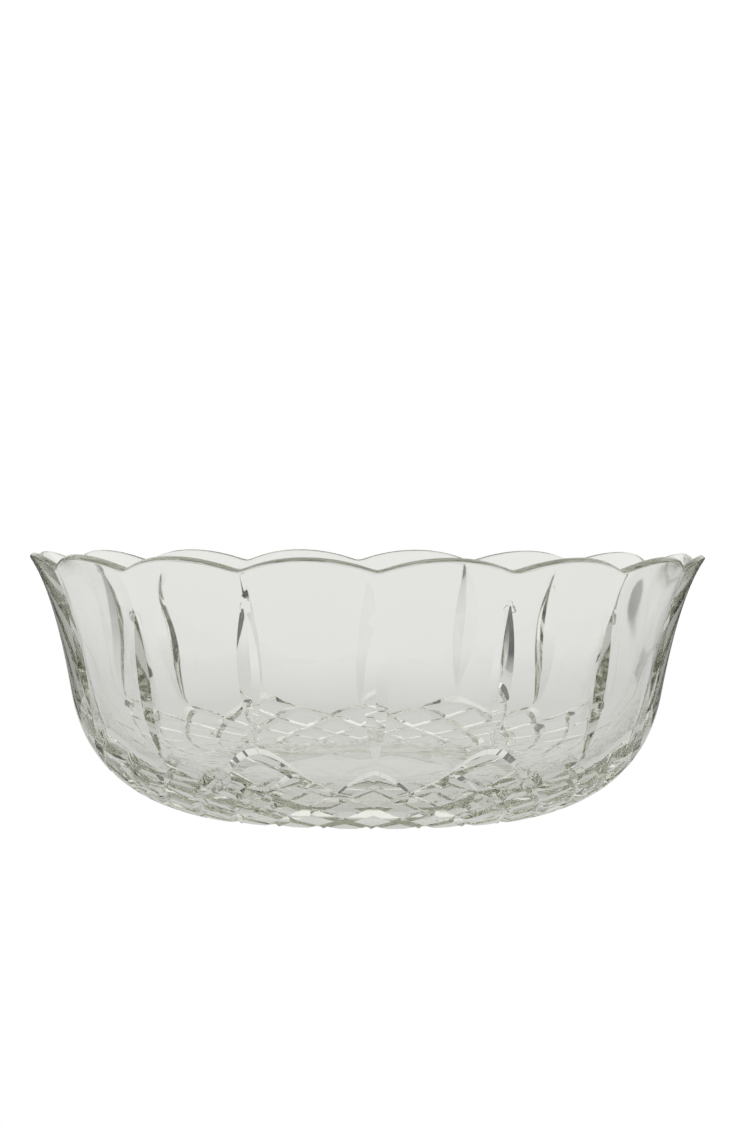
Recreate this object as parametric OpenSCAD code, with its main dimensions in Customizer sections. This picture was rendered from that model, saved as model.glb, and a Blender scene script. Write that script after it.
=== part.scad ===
// Glass salad bowl: a scalloped rim, upright leaf cuts and a belt of diamond cuts.
// Millimetres, +Z up, with the origin on the table under the middle of the bowl.
// The bowl is one closed skin. Rings of points run up the outside from the base to the rim
// and down the inside to the floor, and the cuts are sunk into the outer rings.

/* [Bowl] */
// Diameter across the crests of the rim
rim_d = 252.4; // [240:0.2:285]
// Height of the crests above the table
bowl_h = 96.7; // [88:0.1:120]
// Height at which the wall starts to round in towards the base
round_h = 45; // [41:0.5:50]
// Diameter at that height
round_d = 221; // [210:0.5:228]
// Lean of the wall there, in degrees from upright
wall_lean = 10.3; // [8:0.1:13]
// Depth below the crests of the corner that the flaring rim rounds off
flare_h = 14.7; // [11:0.1:20]
// Height of the corner that the lower part rounds off
turn_h = 9.2; // [7:0.2:13]
// Diameter of the flat that the bowl stands on
base_d = 131; // [118:1:142]

/* [Glass] */
// Thickness at the rim
rim_t = 2.4; // [2:0.1:3.4]
// Thickness of the wall where it starts to round in
wall_t = 5.8; // [5:0.1:8]
// Thickness at the edge of the base
heel_t = 11; // [9:0.2:14]
// Height of the floor's middle above the table
floor_h = 6.6; // [5:0.2:8]
// Depth of the shallow hollow under the base
hollow_h = 0.8; // [0.4:0.1:1.5]
// Width of the ring round that hollow, which the bowl stands on
stand_w = 12; // [8:0.5:20]

/* [Scallops] */
// Scallops round the rim, each over one panel of the wall
scallops = 16; // [12:2:16]
// Drop of the rim from a crest to where the scallops beside it would cross
scallop_h = 4.8; // [2:0.2:7]
// How far the valleys between the scallops are rounded off
valley_round = 0.05; // [0.02:0.01:0.2]
// How far the panels draw in at the valleys, at the rim
pinch = 1.5; // [0:0.1:2.5]

/* [Leaf cuts] */
// Length of the leaf cuts that stand over the belt's high points
leaf_l = 49.7; // [40:0.1:54]
// Length of the leaf cuts that stand over its low points
low_leaf_l = 53.3; // [42:0.1:58]
// Width of a leaf cut at its middle
leaf_w = 8.2; // [6:0.2:10]
// Depth of a leaf cut at its middle
leaf_depth = 1.8; // [1:0.1:2.4]
// Gap between a leaf cut and the diamond below it
leaf_gap = 2; // [0.8:0.1:3]

/* [Diamond cuts] */
// Height of the belt of diamonds at its high points
belt_h = 31.1; // [28:0.1:36]
// Height of a diamond, measured down the curve
diamond_h = 19.1; // [17.5:0.1:22]
// Depth of the diagonal grooves between the diamonds
groove_depth = 1.6; // [1:0.1:2.4]
// How far the points along the top of the belt are rounded off into arches
arch = 0.8; // [0:0.1:1]

/* [Hidden] */

// Grid that the cuts follow: grooves run along the diagonals of its cells
cells = 3;
panel_cells = 3 * cells;
diamond = 2 * cells;
// Half the width of a groove, in cells
groove_half = 1;
cols = scallops * panel_cells;
wall_rows = 8;
inner_wall_rows = 4;
inner_round_rows = 5;
floor_rows = 2;
cell_a = 360 / cols;
panel_a = 360 / scallops;
// Turns a low leaf cut to the front, which is -Y
front_turn = 270 - panel_a;
// Narrowest that the pair of columns beside a leaf cut draws in, in degrees
leaf_tip_a = 0.6;
// Length over which the grooves run out under the base, and the run of the hollow's sloping side
groove_runout = 3.6 * groove_depth;
hollow_run = 4 * hollow_h;

// Corners of the outer profile, as [radius, height]
base_edge = [base_d / 2, 0];
round_turn = [round_d / 2 - (round_h - turn_h) * tan(wall_lean), turn_h];
round_edge = [round_d / 2, round_h];
flare_turn = [round_d / 2 + (bowl_h - flare_h - round_h) * tan(wall_lean), bowl_h - flare_h];
// The outer profile ends where the rounded rim starts
rim_drop = 0.77 * rim_t;
rim_edge = [rim_d / 2 - 0.08 * rim_t, bowl_h - rim_drop];

// A curve from a to c that is drawn towards corner b, its direction and its length
function curve(a, b, c, t) = (1 - t) ^ 2 * a + 2 * t * (1 - t) * b + t ^ 2 * c;
function along(a, b, c, t) = let (d = (1 - t) * (b - a) + t * (c - b)) d / norm(d);
function curve_l(a, b, c) = (norm(b - a) + 2 * norm(c - a) + norm(c - b)) / 3;
// Where on the curve a share of its length ends
function even_t(a, b, c, share) =
    let (left = 1 - share, pull = left / norm(b - a) - share / norm(c - b))
    share ^ 2 * (1 + 2 * left) + share * left * pull * curve_l(a, b, c) / 2;

// Outer profile of the wall at a height: it rounds in below round_h and flares out above
round_b = round_h - turn_h;
function round_t(z) =
    let (drop = round_h - z) drop / (round_b + sqrt(max(0, round_b ^ 2 - (round_b - turn_h) * drop)));
flare_a = round_h - 2 * flare_turn[1] + rim_edge[1];
flare_b = flare_turn[1] - round_h;
function flare_t(z) =
    let (rise = max(0, z - round_h)) rise / (flare_b + sqrt(max(0, flare_b ^ 2 + flare_a * rise)));
function wall_point(z) =
    z < round_h ? curve(round_edge, round_turn, base_edge, round_t(z)) :
    curve(round_edge, flare_turn, rim_edge, flare_t(z));
function wall_normal(z) =
    let (
        d = z < round_h ? -along(round_edge, round_turn, base_edge, round_t(z)) :
            along(round_edge, flare_turn, rim_edge, flare_t(z))
    ) [d[1], -d[0]];
function wall_thickness(z) = wall_t + (rim_t - wall_t) * flare_t(z);

// Outer profile of the belt at a row of its grid, counted down from its top
belt_edge = wall_point(belt_h);
belt_turn = round_turn + (base_edge - round_turn) * round_t(belt_h);
belt_rows = round(curve_l(belt_edge, belt_turn, base_edge) * diamond / diamond_h);
function belt_t(row) = even_t(belt_edge, belt_turn, base_edge, row / belt_rows);
function belt_point(row) = curve(belt_edge, belt_turn, base_edge, belt_t(row));
function belt_normal(row) =
    let (d = along(belt_edge, belt_turn, base_edge, belt_t(row))) [-d[1], d[0]];

// How near an angle is to a valley: 0 at the middle of a panel and almost 1 at a valley
function valley(a) =
    let (x = a / panel_a, off = 2 * abs(x - round(x))) max(0, 1 - sqrt(off ^ 2 + valley_round ^ 2));
function rim_z(a) = bowl_h - scallop_h * valley(a) ^ 2;

// Leaf cuts stand over the valleys, and every second one starts half a diamond lower
low_z = belt_point(cells)[1];
function is_low(column) = round(column / panel_cells) % 2 == 1;
function leaf_bottom(column) = (is_low(column) ? low_z : belt_h) + leaf_gap;
function leaf_length(column) = is_low(column) ? low_leaf_l : leaf_l;
function leaf_share(column, z) =
    let (x = 2 * (z - leaf_bottom(column)) / leaf_length(column) - 1) max(0, 1 - x * x);
// Angle from a leaf cut's middle to its edge, widening again above its tip
function leaf_edge_a(column, z, r) =
    let (
        tip = leaf_bottom(column) + leaf_length(column),
        cut = atan(leaf_w / 2 * leaf_share(column, z) / r),
        above = cell_a * (z - tip) / max(1, bowl_h - tip)
    ) min(cell_a, max(leaf_tip_a, cut, above));

// Angle of a column, with the columns beside a leaf cut drawn in to its edges
function column_a(column) = column * cell_a;
function drawn_a(column, z, r) =
    let (side = column % panel_cells)
    side == 1 ? column_a(column - 1) + leaf_edge_a(column - 1, z, r) :
    side == panel_cells - 1 ? column_a(column + 1) - leaf_edge_a(column + 1, z, r) :
    column_a(column);

// The top of the belt is a zigzag of high and low points, rounded off into arches
function from_high(column) =
    let (x = column % (2 * panel_cells)) min(x, 2 * panel_cells - x);
function zigzag(x) = min(x, 2 * diamond - x);
function arch_lift(x) =
    let (from_low = panel_cells - x)
    arch * (from_low > cells ? 1.5 * x * max(0, 1 - x / (0.75 * diamond)) ^ 2 :
    (0.45 + 0.85 * from_low) * (1 - from_low / cells));
function arched(x, row) =
    let (top = zigzag(x), lift = arch_lift(x))
    row < top ? row * (1 - lift / top) : row - lift * max(0, 1 - (row - top) / diamond);

// Grooves fall to the right and to the left, and the lines of each set lie one diamond apart.
// The first ones follow the zigzag, one cell below it, so that their upper edges lie along it.
function off_line(v) = abs(v - diamond * round(v / diamond));
function groove_share(column, row) =
    let (
        x = from_high(column),
        y = row - 1,
        above = zigzag(x) - y,
        off = above > 0 ? above : min(off_line(x - y), off_line(x + y))
    ) max(0, 1 - off / groove_half);

// A point of the skin from its profile point and angle
function place(p, a) = [p[0] * cos(a + front_turn), p[0] * sin(a + front_turn), p[1]];

// Rings of points
function belt_ring(row) =
    [for (c = [0 : cols - 1])
        let (
            line = arched(from_high(c), row),
            p = belt_point(line),
            leaf = row < cells && is_low(c),
            middle = c % panel_cells == 0,
            groove = groove_depth * groove_share(c, row),
            depth = leaf && middle ? max(groove, leaf_depth * leaf_share(c, p[1])) : groove,
            a = leaf ? drawn_a(c, p[1], p[0]) : column_a(c)
        ) place(p - belt_normal(line) * depth, a)];
function wall_ring(row) =
    [for (c = [0 : cols - 1])
        let (
            level = belt_h + (rim_z(column_a(c)) - rim_drop - belt_h) * row / wall_rows,
            a = drawn_a(c, level, wall_point(level)[0]),
            z = belt_h + (rim_z(a) - rim_drop - belt_h) * row / wall_rows,
            draw_in = pinch * valley(a) ^ 2 * flare_t(z),
            depth = c % panel_cells == 0 ? leaf_depth * leaf_share(c, z) : 0
        ) place(wall_point(z) - [draw_in, 0] - wall_normal(z) * depth, a)];
function rim_ring() =
    [for (c = [0 : cols - 1])
        let (
            a = column_a(c),
            z = rim_z(a) - rim_drop,
            n = wall_normal(z),
            draw_in = pinch * valley(a) ^ 2 * flare_t(z)
        ) place(wall_point(z) - [draw_in, 0] - (n + [n[1], -n[0]]) * wall_thickness(z) / 2, a)];
function inner_wall_ring(row) =
    [for (c = [0 : cols - 1])
        let (
            a = column_a(c),
            z = round_h + (rim_z(a) - rim_drop - round_h) * row / inner_wall_rows,
            draw_in = pinch * valley(a) ^ 2 * flare_t(z) ^ 3
        ) place(wall_point(z) - [draw_in, 0] - wall_normal(z) * wall_thickness(z), a)];
function inner_round_point(share) =
    let (
        t = even_t(round_edge, round_turn, base_edge, share),
        d = along(round_edge, round_turn, base_edge, t),
        thickness = wall_t + (heel_t - wall_t) * share
    ) curve(round_edge, round_turn, base_edge, t) + [d[1], -d[0]] * thickness;
function inner_round_ring(row) =
    let (p = inner_round_point(row / inner_round_rows)) flat_ring(p[0], p[1]);
function flat_ring(r, z) = [for (c = [0 : cols - 1]) place([r, z], column_a(c))];

stand_r = base_d / 2 - groove_runout;
hollow_r = stand_r - stand_w;

// The inside runs on from the wall's curve and flattens to the floor
floor_edge = inner_round_point(1);
floor_way = along(round_edge, round_turn, base_edge, 1);
floor_run = (floor_edge[1] - floor_h) * floor_way[0] / -floor_way[1];
floor_turn = [floor_edge[0] + floor_run, floor_h];
floor_flat = [floor_edge[0] + 2 * floor_run, floor_h];
function floor_ring(row) =
    let (p = curve(floor_edge, floor_turn, floor_flat, row / floor_rows)) flat_ring(p[0], p[1]);

module bowl() {
    rings = concat(
        [flat_ring(hollow_r - hollow_run, hollow_h), flat_ring(hollow_r, 0), flat_ring(stand_r, 0)],
        [for (row = [belt_rows : -1 : 0]) belt_ring(row)],
        [for (row = [1 : wall_rows]) wall_ring(row)],
        [rim_ring()],
        [for (row = [inner_wall_rows : -1 : 1]) inner_wall_ring(row)],
        [for (row = [0 : inner_round_rows]) inner_round_ring(row)],
        [for (row = [1 : floor_rows]) floor_ring(row)]
    );
    belt_start = 3;
    last = len(rings) - 1;
    under = len(rings) * cols;
    floor_middle = under + 1;
    // A cell's two triangles share the diagonal that lies along the nearest groove
    function falls_right(ring, c) =
        let (
            row = belt_rows - 1 - (ring - belt_start),
            y = row - 1,
            x = (c + 0.5) % (2 * panel_cells),
            above = y + 0.5 < zigzag(from_high(x))
        )
        row < 0 || row >= belt_rows ? c % panel_cells < panel_cells / 2 :
        above ? x < diamond || (x > panel_cells && x < 2 * diamond) :
        off_line(c - y) < off_line(c + y + 1);
    function at(ring, c) = ring * cols + c % cols;
    skin = [for (ring = [0 : last - 1], c = [0 : cols - 1])
        let (a = at(ring, c), b = at(ring, c + 1), d = at(ring + 1, c), e = at(ring + 1, c + 1))
        each falls_right(ring, c) ? [[a, d, b], [b, d, e]] : [[a, d, e], [a, e, b]]];
    caps = [for (c = [0 : cols - 1])
        each [[under, at(0, c), at(0, c + 1)], [floor_middle, at(last, c + 1), at(last, c)]]];
    color([0.85, 0.87, 0.85, 0.5])
        polyhedron(
            points = concat([for (ring = rings) each ring], [[0, 0, hollow_h], [0, 0, floor_h]]),
            faces = concat(skin, caps)
        );
}

bowl();
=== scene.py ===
import math
import bpy
from mathutils import Matrix


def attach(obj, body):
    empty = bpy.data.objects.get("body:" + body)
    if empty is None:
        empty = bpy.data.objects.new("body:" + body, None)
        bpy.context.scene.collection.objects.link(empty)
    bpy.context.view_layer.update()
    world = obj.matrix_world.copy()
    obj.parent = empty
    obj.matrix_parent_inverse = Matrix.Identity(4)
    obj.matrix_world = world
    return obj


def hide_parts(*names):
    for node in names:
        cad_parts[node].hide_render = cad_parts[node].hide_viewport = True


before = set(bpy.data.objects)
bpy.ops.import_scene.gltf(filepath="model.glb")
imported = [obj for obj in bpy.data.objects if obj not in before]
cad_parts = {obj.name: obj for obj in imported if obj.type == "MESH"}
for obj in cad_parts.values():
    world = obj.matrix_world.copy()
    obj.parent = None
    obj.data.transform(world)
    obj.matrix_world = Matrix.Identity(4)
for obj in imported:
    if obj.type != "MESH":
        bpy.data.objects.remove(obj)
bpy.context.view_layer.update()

print("frame loaded:", sorted(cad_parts))


class Value:  # one socket of a node tree, so that sums on it are written as sums
    def __init__(self, nodes, socket):
        self.nodes = nodes
        self.socket = socket

    def math(self, operation, first, second=0.0):
        return self.nodes.add("ShaderNodeMath", {"operation": operation}, {0: first, 1: second})

    def also(self, name):  # another output of the same node
        return Value(self.nodes, self.socket.node.outputs[name])

    def __add__(self, other):
        return self.math("ADD", self, other)

    def __radd__(self, other):
        return self.math("ADD", other, self)

    def __sub__(self, other):
        return self.math("SUBTRACT", self, other)

    def __rsub__(self, other):
        return self.math("SUBTRACT", other, self)

    def __mul__(self, other):
        return self.math("MULTIPLY", self, other)

    def __rmul__(self, other):
        return self.math("MULTIPLY", other, self)

    def __truediv__(self, other):
        return self.math("DIVIDE", self, other)

    def __rtruediv__(self, other):
        return self.math("DIVIDE", other, self)

    def __neg__(self):
        return self.math("SUBTRACT", 0.0, self)

    def __abs__(self):
        return self.math("ABSOLUTE", self)

    def __lt__(self, other):
        return self.math("LESS_THAN", self, other)

    def __gt__(self, other):
        return self.math("GREATER_THAN", self, other)

    def atMost(self, other):
        return self.math("MINIMUM", self, other)

    def atLeast(self, other):
        return self.math("MAXIMUM", self, other)

    def power(self, other):
        return self.math("POWER", self, other)

    def call(self, operation):  # root, sine, rounding and the like
        return self.math(operation, self)


class Nodes:  # adds nodes to one tree
    def __init__(self, tree):
        self.tree = tree

    def add(self, kind, settings=None, sockets=None, out=0):
        node = self.tree.nodes.new(kind)
        for name, setting in (settings or {}).items():
            if name == "stops":
                self.setStops(node.color_ramp, setting)
            else:
                setattr(node, name, setting)
        for name, value in (sockets or {}).items():
            if isinstance(value, Value):
                self.tree.links.new(value.socket, node.inputs[name])
            else:
                node.inputs[name].default_value = value
        return Value(self, node.outputs[out]) if len(node.outputs) else node

    def setStops(self, ramp, stops):
        while len(ramp.elements) < len(stops):
            ramp.elements.new(1.0)
        for element, (place, grey) in zip(ramp.elements, stops):
            element.position = place
            element.color = (grey, grey, grey, 1.0)


# The bowl: sizes in metres, as the solid has them

bowlSizes = {
    "rimDiameter": 0.2524,
    "height": 0.0967,
    "roundHeight": 0.045,
    "roundDiameter": 0.221,
    "wallLean": math.radians(10.3),
    "flareHeight": 0.0147,
    "turnHeight": 0.0092,
    "baseDiameter": 0.131,
    "rimThickness": 0.0024,
    "wallThickness": 0.0058,
    "heelThickness": 0.011,
    "floorHeight": 0.0066,
    "hollowHeight": 0.0008,
    "standWidth": 0.012,
    "scallops": 16.0,
    "scallopDrop": 0.0048,
    "valleyRound": 0.05,
    "pinch": 0.0015,
    "leafLength": 0.0497,
    "lowLeafLength": 0.0533,
    "leafWidth": 0.0082,
    "leafDepth": 0.0018,
    "leafGap": 0.002,
    "beltHeight": 0.0311,
    "diamondHeight": 0.0191,
    "grooveDepth": 0.0016,
    "arch": 0.8,
}
bowlMesh = {  # rows of faces in each band of the skin, and steps across one cell of the cut pattern
    "cellSteps": 3,
    "wallRows": 50,
    "rimRows": 10,
    "innerWallRows": 24,
    "innerRoundRows": 24,
    "floorRows": 12,
    "creaseAngle": math.radians(22),
    "weld": 0.00001,  # points nearer than this are one
}
panelCells = 9  # cells across a panel of the wall
diamondCells = 6  # cells across a whole diamond
grooveCells = 1  # cells from the middle of a groove to its edge
rimRoll = 0.6  # 1 for a round rim, less for one with a flatter top
rimDropShare = 0.77  # of the rim's thickness, from its top to where its rounding starts
rimInset = 0.08  # of the rim's thickness, from its widest to there
leafTipCells = 0.2  # least half width of the columns at a leaf cut
highArch = {"reach": 0.75, "swell": 1.5}  # how the belt's high and low points are rounded
lowArch = {"rise": 0.45, "swell": 0.85}
grooveRunout = 3.6  # groove depths from the base's edge to the standing ring
hollowSlope = 4  # run of the slope into the hollow, for a height of 1


def bend(a, b, c, t):  # point of a curve from a to c that is drawn towards corner b
    return tuple((1 - t) * (1 - t) * p + 2 * t * (1 - t) * q + t * t * s for p, q, s in zip(a, b, c))


def heading(a, b, c, t):
    dr, dz = ((1 - t) * (q - p) + t * (s - q) for p, q, s in zip(a, b, c))
    length = (dr * dr + dz * dz).call("SQRT")
    return dr / length, dz / length


def distance(a, b):
    dr, dz = a[0] - b[0], a[1] - b[1]
    return (dr * dr + dz * dz).call("SQRT")


def bendLength(a, b, c):
    return (distance(b, a) + 2 * distance(c, a) + distance(c, b)) / 3


def evenPlace(a, b, c, share):  # where on the curve a share of its length ends
    left = 1 - share
    pull = left / distance(b, a) - share / distance(c, b)
    return share * share * (1 + 2 * left) + share * left * pull * bendLength(a, b, c) / 2


def mix(a, b, share):
    return tuple(p + (q - p) * share for p, q in zip(a, b))


def choose(test, yes, no):
    return no + test * (yes - no)


class BowlSkin:  # one sector of the bowl, two panels wide, as bands of a grid bent to the profile
    def __init__(self, nodes, size):
        self.nodes = nodes
        self.size = size
        self.bands = []
        self.cellAngle = 2 * math.pi / (size["scallops"] * panelCells)
        lean = size["wallLean"].call("TANGENT")
        halfRound = size["roundDiameter"] / 2
        flareZ = size["height"] - size["flareHeight"]
        self.rimDrop = rimDropShare * size["rimThickness"]
        self.roundEdge = (halfRound, size["roundHeight"])
        turnZ = size["turnHeight"]
        self.roundTurn = (halfRound - (size["roundHeight"] - turnZ) * lean, turnZ)
        self.baseEdge = (size["baseDiameter"] / 2, 0.0 * halfRound)
        self.flareTurn = (halfRound + (flareZ - size["roundHeight"]) * lean, flareZ)
        rimR = size["rimDiameter"] / 2 - rimInset * size["rimThickness"]
        self.rimEdge = (rimR, size["height"] - self.rimDrop)
        beltStart = self.roundPlace(size["beltHeight"])
        self.beltEdge = bend(self.roundEdge, self.roundTurn, self.baseEdge, beltStart)
        self.beltTurn = mix(self.roundTurn, self.baseEdge, beltStart)
        beltLength = bendLength(self.beltEdge, self.beltTurn, self.baseEdge)
        self.beltRows = (beltLength * diamondCells / size["diamondHeight"]).call("ROUND")
        self.lowZ = self.beltAt(diamondCells / 2 + 0 * halfRound)[0][1]

    def grid(self, rows):
        columns = 2 * panelCells * bowlMesh["cellSteps"]
        sockets = {"Size X": 2.0 * panelCells, "Size Y": 1.0}
        sockets.update({"Vertices X": columns + 1, "Vertices Y": rows + 1})
        mesh = self.nodes.add("GeometryNodeMeshGrid", None, sockets, "Mesh")
        place = self.nodes.add("GeometryNodeInputPosition")
        x = self.nodes.add("ShaderNodeSeparateXYZ", None, {0: place})
        return mesh, x + panelCells, x.also("Y") + 0.5

    def addBand(self, mesh, x, point):  # sets the grid's points at x cells round and a profile point
        angle = x * self.cellAngle
        sockets = {0: point[0] * angle.call("COSINE"), 1: point[0] * angle.call("SINE"), 2: point[1]}
        place = self.nodes.add("ShaderNodeCombineXYZ", None, sockets)
        sockets = {"Geometry": mesh, "Position": place}
        self.bands.append(self.nodes.add("GeometryNodeSetPosition", None, sockets))

    def roundPlace(self, z):  # place on the lower curve at a height
        drop = (self.size["roundHeight"] - z).atLeast(0.0)
        fall = self.size["roundHeight"] - self.size["turnHeight"]
        root = (fall * fall - (fall - self.size["turnHeight"]) * drop).atLeast(0.0).call("SQRT")
        return drop / (fall + root)

    def flarePlace(self, z):  # place on the upper curve at a height
        rise = (z - self.size["roundHeight"]).atLeast(0.0)
        climb = self.flareTurn[1] - self.size["roundHeight"]
        bowing = self.size["roundHeight"] - 2 * self.flareTurn[1] + self.rimEdge[1]
        return rise / (climb + (climb * climb + bowing * rise).atLeast(0.0).call("SQRT"))

    def wallAt(self, z):
        below = z < self.size["roundHeight"]
        flare = self.flarePlace(z)
        t = flare + self.roundPlace(z)  # one of them is nothing
        corner = mix(self.flareTurn, self.roundTurn, below)
        end = mix(self.rimEdge, self.baseEdge, below)
        dr, dz = heading(self.roundEdge, corner, end, t)
        facing = 1 - 2 * below
        return bend(self.roundEdge, corner, end, t), (dz * facing, -(dr * facing)), flare

    def beltAt(self, row):
        t = evenPlace(self.beltEdge, self.beltTurn, self.baseEdge, row / self.beltRows)
        dr, dz = heading(self.beltEdge, self.beltTurn, self.baseEdge, t)
        return bend(self.beltEdge, self.beltTurn, self.baseEdge, t), (-dz, dr)

    def innerRoundAt(self, share):
        t = evenPlace(self.roundEdge, self.roundTurn, self.baseEdge, share)
        dr, dz = heading(self.roundEdge, self.roundTurn, self.baseEdge, t)
        point = bend(self.roundEdge, self.roundTurn, self.baseEdge, t)
        wall, heel = self.size["wallThickness"], self.size["heelThickness"]
        thickness = wall + (heel - wall) * share
        return (point[0] + dz * thickness, point[1] - dr * thickness), (dr, dz)

    def valley(self, x):  # 0 in the middle of a panel, almost 1 at the rounded valleys beside it
        off = 1 - abs(2 * (x / panelCells).call("FRACT") - 1)
        rounding = self.size["valleyRound"]
        return (1 - (off * off + rounding * rounding).call("SQRT")).atLeast(0.0)

    def levelAt(self, x, share, low):  # height at a share of the way up to the scalloped rim's rounding
        nearness = self.valley(x)
        rim = self.size["height"] - self.size["scallopDrop"] * nearness * nearness
        return low + (rim - self.rimDrop - low) * share

    def leafCut(self, x, z, r, drawIn):  # columns drawn to the edges of the leaf cut, and its depth
        nearest = (x / panelCells).call("ROUND")
        low = nearest - 2 * (nearest / 2).call("FLOOR")
        off = x - panelCells * nearest
        away = abs(off)
        bottom = choose(low, self.lowZ, self.size["beltHeight"]) + self.size["leafGap"]
        length = choose(low, self.size["lowLeafLength"], self.size["leafLength"])
        along = 2 * (z - bottom) / length - 1
        share = (1 - along * along).atLeast(0.0)
        tip = bottom + length
        cut = self.size["leafWidth"] / 2 * share / r / self.cellAngle
        above = (z - tip) / (self.size["height"] - tip)
        edge = cut.atLeast(above).atLeast(leafTipCells).atMost(1.0)
        edge = 1 - (1 - edge) * drawIn(low)
        halfPanel = panelCells / 2
        beyond = (away - 1).atLeast(0.0)
        spread = away.atMost(1.0) * edge + beyond * (halfPanel - edge) / (halfPanel - 1)
        depth = self.size["leafDepth"] * share * (1 - away).atLeast(0.0) * drawIn(low)
        return panelCells * nearest + off.call("SIGN") * spread, depth

    def wallPoint(self, x, z, pinchPower):
        point, normal, flare = self.wallAt(z)
        nearness = self.valley(x)
        drawn = self.size["pinch"] * nearness * nearness
        for _ in range(pinchPower):
            drawn = drawn * flare
        return (point[0] - drawn, point[1]), normal, flare

    def innerWallPoint(self, x, z):
        point, normal, flare = self.wallPoint(x, z, 3)
        wall = self.size["wallThickness"]
        thickness = wall + (self.size["rimThickness"] - wall) * flare
        return point[0] - normal[0] * thickness, point[1] - normal[1] * thickness

    def fold(self, x):  # cells from the nearest high point of the belt
        return panelCells - abs(x - panelCells)

    def zigzag(self, fold):
        return fold.atMost(2 * diamondCells - fold)

    def arched(self, fold, row):  # row moved so that the points along the belt's top are rounded off
        fromLow = panelCells - fold
        narrowing = (1 - fold / (highArch["reach"] * diamondCells)).atLeast(0.0)
        high = highArch["swell"] * fold * narrowing * narrowing
        low = (lowArch["rise"] + lowArch["swell"] * fromLow) * (1 - 2 * fromLow / diamondCells)
        lift = self.size["arch"] * choose(fromLow > diamondCells / 2, high, low)
        top = self.zigzag(fold)
        fading = (1 - (row - top) / diamondCells).atLeast(0.0)
        return row - lift * choose(row < top, row / top.atLeast(0.001), fading)

    def grooves(self, x, row):  # share of the full depth, and which way the nearest groove falls
        fold = self.fold(x)
        y = row - 1
        above = self.zigzag(fold) - y
        inside = above < 0.001
        right, left = (fold - y) / diamondCells, (fold + y) / diamondCells
        toRight = diamondCells * abs(right - right.call("ROUND"))
        toLeft = diamondCells * abs(left - left.call("ROUND"))
        off = choose(inside, toRight.atMost(toLeft), above)
        fallsRight = choose(inside, toRight < toLeft, fold < diamondCells)
        mirrored = x > panelCells
        return (1 - off / grooveCells).atLeast(0.0), fallsRight + mirrored - 2 * fallsRight * mirrored

    def beltPoint(self, x, share):
        row = share * self.beltRows
        point, normal = self.beltAt(self.arched(self.fold(x), row))
        aboveLow = row < diamondCells / 2 - 0.01
        drawnX, leafDepth = self.leafCut(x, point[1], point[0], lambda low: low * aboveLow)
        grooveShare, fallsRight = self.grooves(x, row)
        depth = leafDepth.atLeast(self.size["grooveDepth"] * grooveShare)
        return drawnX, (point[0] - normal[0] * depth, point[1] - normal[1] * depth), fallsRight

    def ringBand(self, rows, start, end, corner=None):
        mesh, x, share = self.grid(rows)
        self.addBand(mesh, x, bend(start, corner, end, share) if corner else mix(start, end, share))

    def floor(self):
        edge, way = self.innerRoundAt(1.0 + 0 * self.cellAngle)
        level = self.size["floorHeight"]
        run = (level - edge[1]) * way[0] / way[1]
        turn, flat = (edge[0] + run, level), (edge[0] + 2 * run, level)
        self.ringBand(4, (0 * run, level), flat)
        self.ringBand(bowlMesh["floorRows"], flat, edge, turn)

    def innerWall(self):
        mesh, x, share = self.grid(bowlMesh["innerRoundRows"])
        self.addBand(mesh, x, self.innerRoundAt(1 - share)[0])
        mesh, x, share = self.grid(bowlMesh["innerWallRows"])
        self.addBand(mesh, x, self.innerWallPoint(x, self.levelAt(x, share, self.size["roundHeight"])))

    def rim(self):
        mesh, x, share = self.grid(bowlMesh["rimRows"])
        z = self.levelAt(x, 1.0, self.size["roundHeight"])
        outer, normal, flare = self.wallPoint(x, z, 1)
        inner = self.innerWallPoint(x, z)
        across = ((outer[0] - inner[0]) / 2, (outer[1] - inner[1]) / 2)
        half = distance(outer, inner) / 2
        turn = math.pi * (1 - share)
        c, s = turn.call("COSINE"), turn.call("SINE").atLeast(0.0)
        c, s = c.call("SIGN") * abs(c).power(rimRoll), s.power(rimRoll) * half
        middle = ((outer[0] + inner[0]) / 2, (outer[1] + inner[1]) / 2)
        r = middle[0] + across[0] * c - normal[1] * s
        self.addBand(mesh, x, (r, middle[1] + across[1] * c + normal[0] * s))

    def outerWall(self):
        mesh, x, down = self.grid(bowlMesh["wallRows"])
        share = 1 - down
        aboveBelt = share > 0.5 / bowlMesh["wallRows"]
        start = self.size["beltHeight"]
        level = self.levelAt(x, share, start)
        wallR = self.wallAt(level)[0][0]
        drawnX, depth = self.leafCut(x, level, wallR, lambda low: low.atLeast(aboveBelt))
        point, normal, flare = self.wallPoint(drawnX, self.levelAt(drawnX, share, start), 1)
        self.addBand(mesh, drawnX, (point[0] - normal[0] * depth, point[1] - normal[1] * depth))

    def belt(self):
        mesh, x, share = self.grid(self.beltRows * bowlMesh["cellSteps"])
        drawnX, point, fallsRight = self.beltPoint(x, share)
        # diagonals along the grooves
        for method, chosen in (("FIXED", fallsRight), ("FIXED_ALTERNATE", 1 - fallsRight)):
            sockets = {"Mesh": mesh, "Selection": chosen}
            mesh = self.nodes.add("GeometryNodeTriangulate", {"quad_method": method}, sockets)
        self.addBand(mesh, drawnX, point)

    def underside(self):
        stand = (self.baseEdge[0] - grooveRunout * self.size["grooveDepth"], self.baseEdge[1])
        hollow = (stand[0] - self.size["standWidth"], self.baseEdge[1])
        slope = (hollow[0] - hollowSlope * self.size["hollowHeight"], self.size["hollowHeight"])
        mesh, x, share = self.grid(4)
        drawnX, edge, fallsRight = self.beltPoint(x, 1.0 + 0 * share)
        self.addBand(mesh, x, mix(edge, stand, share))
        self.ringBand(4, stand, hollow)
        self.ringBand(3, hollow, slope)
        self.ringBand(6, slope, (0 * slope[0], slope[1]))


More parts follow.
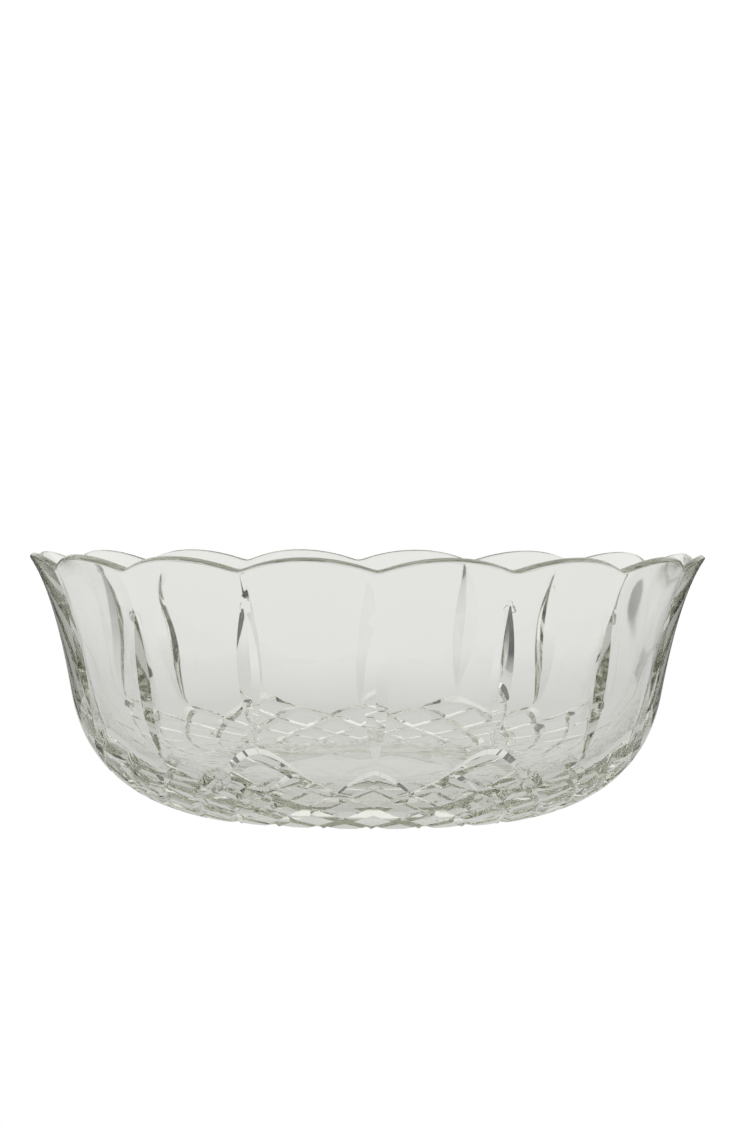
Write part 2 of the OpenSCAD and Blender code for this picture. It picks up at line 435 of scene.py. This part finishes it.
def makeBowlTree(glass):
    tree = bpy.data.node_groups.new("cutGlassBowl", "GeometryNodeTree")
    for name in bowlSizes:
        tree.interface.new_socket(name=name, in_out="INPUT", socket_type="NodeSocketFloat")
    tree.interface.new_socket(name="skin", in_out="OUTPUT", socket_type="NodeSocketGeometry")
    nodes = Nodes(tree)
    first = nodes.add("NodeGroupInput")
    size = {name: first.also(name) for name in bowlSizes}
    skin = BowlSkin(nodes, size)
    skin.floor()
    skin.innerWall()
    skin.rim()
    skin.outerWall()
    skin.belt()
    skin.underside()
    join = tree.nodes.new("GeometryNodeJoinGeometry")
    for band in skin.bands:
        tree.links.new(band.socket, join.inputs[0])
    sector = Value(nodes, join.outputs[0])
    # sectors side by side all round, with a low leaf cut at the front
    step = 2 * 2 * math.pi / size["scallops"]
    points = nodes.add("GeometryNodePoints", None, {"Count": size["scallops"] / 2})
    index = nodes.add("GeometryNodeInputIndex")
    turn = nodes.add("ShaderNodeCombineXYZ", None, {2: math.radians(270) - step / 2 + index * step})
    sockets = {"Points": points, "Instance": sector, "Rotation": turn}
    ring = nodes.add("GeometryNodeInstanceOnPoints", None, sockets)
    whole = nodes.add("GeometryNodeRealizeInstances", None, {0: ring})
    sockets = {"Geometry": whole, "Distance": bowlMesh["weld"]}
    whole = nodes.add("GeometryNodeMergeByDistance", None, sockets)
    whole = nodes.add("GeometryNodeFlipFaces", None, {"Mesh": whole})
    sockets = {"Geometry": whole, "Shade Smooth": True}
    whole = nodes.add("GeometryNodeSetShadeSmooth", {"domain": "FACE"}, sockets)
    sharp = nodes.add("GeometryNodeInputMeshEdgeAngle") > bowlMesh["creaseAngle"]
    sockets = {"Geometry": whole, "Selection": sharp, "Shade Smooth": False}
    whole = nodes.add("GeometryNodeSetShadeSmooth", {"domain": "EDGE"}, sockets)
    whole = nodes.add("GeometryNodeSetMaterial", None, {"Geometry": whole, "Material": glass})
    nodes.add("NodeGroupOutput", None, {"skin": whole})
    return tree


def makeBowl(glass):
    tree = makeBowlTree(glass)
    seed = bpy.data.objects.new("bowlSeed", bpy.data.meshes.new("bowlSeed"))
    bpy.context.scene.collection.objects.link(seed)
    modifier = seed.modifiers.new("cutGlassBowl", "NODES")
    modifier.node_group = tree
    for item in tree.interface.items_tree:
        if item.in_out == "INPUT":
            modifier[item.identifier] = bowlSizes[item.name]
    graph = bpy.context.evaluated_depsgraph_get()
    mesh = bpy.data.meshes.new_from_object(seed.evaluated_get(graph))
    mesh.name = "glassBowl"
    bpy.data.objects.remove(seed)
    piece = bpy.data.objects.new("glassBowl", mesh)
    bpy.context.scene.collection.objects.link(piece)
    triangles = sum(len(f.vertices) - 2 for f in mesh.polygons)
    print("bowl skin:", len(mesh.vertices), "points,", triangles, "triangles")
    return piece


glassLook = {
    "ior": 1.52,
    "tint": (0.83, 0.835, 0.80, 1.0),
    "absorption": 30.0,
    "waveSize": 0.014,  # of the slow waves that pressing leaves in the skin
    "waveHeight": 0.00004,
    "roughness": 0.01,
    "hollowRoughness": 0.02,  # more in the hollows of the waves, where polishing reaches less
}


def makeGlass():
    glass = bpy.data.materials.new("clearGlass")
    glass.use_nodes = True
    nodes = Nodes(glass.node_tree)
    glass.node_tree.nodes.clear()
    place = nodes.add("ShaderNodeTexCoord", out="Object")
    sockets = {"Vector": place, "Scale": 1 / glassLook["waveSize"], "Detail": 0.0}
    waves = nodes.add("ShaderNodeTexNoise", None, sockets, "Fac")
    sockets = {"Height": waves, "Strength": 1.0, "Distance": glassLook["waveHeight"]}
    sockets = {
        "Base Color": (1.0, 1.0, 1.0, 1.0),
        "Transmission Weight": 1.0,
        "IOR": glassLook["ior"],
        "Roughness": glassLook["roughness"] + (1 - waves) * glassLook["hollowRoughness"],
        "Normal": nodes.add("ShaderNodeBump", None, sockets),
    }
    surface = nodes.add("ShaderNodeBsdfPrincipled", None, sockets)
    sockets = {"Color": glassLook["tint"], "Density": glassLook["absorption"]}
    volume = nodes.add("ShaderNodeVolumeAbsorption", None, sockets)
    nodes.add("ShaderNodeOutputMaterial", None, {"Surface": surface, "Volume": volume})
    return glass


studio = {
    "tableHalf": 1.2,  # half of a pale table's width
    "tableFront": 0.9,
    "tableBack": 0.2,
    "sheetLeft": -0.168,  # edges of the sheet that sweeps up behind it
    "sheetRight": 0.174,
    "sweep": 0.1,
    "sweepSteps": 6,
    "fade": 0.028,  # height over which the sheet turns from the table's darker grey, which is painted shade, to its own lit grey
    "rise": 0.18,
    "side": 0.6,  # out to a card on each side
    "cardHalf": 0.3,
    "shadedTableGrey": 0.62,  # as the glass sees them, glowing as the studio's light, with the table's lower grey as painted shade; the camera sees white
    "sheetGrey": 0.79,
    "floorGrey": 0.6,  # of the floor past the table
    "floorTop": -0.16,  # as the upward part of a direction of length 1, like the next tops and fades
    "floorFade": 0.06,
    "roomGrey": 0.06,
    "roomTop": 0.1,
    "roomFade": 0.08,
    "upperLight": 1.1,
    "warmth": (1.0, 0.996, 0.966, 1.0),
    "gap": 0.0004,  # under the bowl
    "bounces": 40,  # light goes round and round inside cut glass
}


def whiteToCamera(nodes, kind, grey):  # the photograph's ground and background are plain white
    seen = nodes.add("ShaderNodeLightPath", out="Is Camera Ray")
    plain = nodes.add(kind, None, {"Color": studio["warmth"], "Strength": grey})
    white = nodes.add(kind, None, {"Color": (1.0, 1.0, 1.0, 1.0), "Strength": 1.0})
    return nodes.add("ShaderNodeMixShader", None, {0: seen, 1: plain, 2: white})


def makeTable():
    half, front, back = studio["tableHalf"], studio["tableFront"], studio["tableBack"]
    left, right = studio["sheetLeft"], studio["sheetRight"]
    sweep, rise = studio["sweep"], studio["rise"]
    side, card = studio["side"], studio["cardHalf"]
    points = [(-half, -front, 0.0), (half, -front, 0.0), (half, back, 0.0), (-half, back, 0.0)]
    for x in (-side, side):
        points += [(x, -card, 0.0), (x, card, 0.0), (x, card, rise), (x, -card, rise)]
    faces = [(0, 1, 2, 3), (4, 5, 6, 7), (8, 9, 10, 11)]
    bow = [math.radians(90 * i / studio["sweepSteps"]) for i in range(studio["sweepSteps"] + 1)]
    outline = [(back + sweep * math.sin(a), sweep - sweep * math.cos(a)) for a in bow]
    outline.append((back + sweep, rise))
    first = len(points)
    for y, z in outline:
        points += [(left, y, z), (right, y, z)]
    faces += [(i, i + 1, i + 3, i + 2) for i in range(first, len(points) - 2, 2)]
    points = [(x, y, z - studio["gap"]) for x, y, z in points]
    mesh = bpy.data.meshes.new("table")
    mesh.from_pydata(points, [], faces)
    table = bpy.data.objects.new("table", mesh)
    bpy.context.scene.collection.objects.link(table)
    pale = bpy.data.materials.new("paleSheet")
    pale.use_nodes = True
    nodes = Nodes(pale.node_tree)
    pale.node_tree.nodes.clear()
    place = nodes.add("ShaderNodeTexCoord", out="Object")
    height = nodes.add("ShaderNodeSeparateXYZ", None, {0: place}, "Z")
    # painted shade: the table and the lowest part of the sheet and cards glow darker than higher up
    share = (height / studio["fade"]).atLeast(0.0).atMost(1.0)
    grey = studio["shadedTableGrey"] + (studio["sheetGrey"] - studio["shadedTableGrey"]) * share
    glow = whiteToCamera(nodes, "ShaderNodeEmission", grey)
    nodes.add("ShaderNodeOutputMaterial", None, {"Surface": glow})
    mesh.materials.append(pale)


def makeWorld():
    world = bpy.data.worlds.new("studio")
    bpy.context.scene.world = world
    world.use_nodes = True
    nodes = Nodes(world.node_tree)
    world.node_tree.nodes.clear()
    direction = nodes.add("ShaderNodeTexCoord", out="Generated")
    height = nodes.add("ShaderNodeSeparateXYZ", None, {0: direction}, "Z")
    # a pale floor, a dim room above it and soft light from the upper half
    room, floor = studio["roomGrey"], studio["floorGrey"]
    low, high = studio["floorTop"], studio["roomTop"]
    levels = [(low - studio["floorFade"], floor), (low, room), (high, room)]
    levels.append((high + studio["roomFade"], studio["upperLight"]))
    stops = [(0.5 + z / 2, grey) for z, grey in levels]
    ramp = nodes.add("ShaderNodeValToRGB", {"stops": stops}, {0: 0.5 + height / 2})
    light = nodes.add("ShaderNodeSeparateColor", None, {0: ramp})
    back = whiteToCamera(nodes, "ShaderNodeBackground", light)
    nodes.add("ShaderNodeOutputWorld", None, {"Surface": back})
    paths = bpy.context.scene.cycles
    paths.max_bounces = paths.glossy_bounces = paths.transmission_bounces = studio["bounces"]


view = {  # the photograph's view, in metres and degrees
    "distance": 1.08,
    "eyeHeight": 0.10985,
    "round": -1.7,
    "lens": 91.9,
    "tiltDown": 0.876,
    "panRight": 0.16,
    "roll": 0.25,
}


def makeCamera():
    data = bpy.data.cameras.new("camera")
    data.lens = view["lens"]
    data.sensor_width = 36.0
    data.clip_end = 50.0
    camera = bpy.data.objects.new("camera", data)
    bpy.context.scene.collection.objects.link(camera)
    side = math.radians(view["round"])
    away = view["distance"]
    camera.location = (away * math.sin(side), -away * math.cos(side), view["eyeHeight"])
    tilt = Matrix.Rotation(math.radians(90 - view["tiltDown"]), 3, "X")
    pan = Matrix.Rotation(side - math.radians(view["panRight"]), 3, "Z")
    roll = Matrix.Rotation(math.radians(view["roll"]), 3, "Z")
    camera.rotation_euler = (pan @ tilt @ roll).to_euler()
    bpy.context.scene.camera = camera


glass = makeGlass()
bowl = makeBowl(glass)
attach(bowl, "root")
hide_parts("bowl")
print("bowl placed")
makeTable()
makeWorld()
makeCamera()
bpy.context.scene.view_settings.view_transform = "Standard"
print("studio ready")
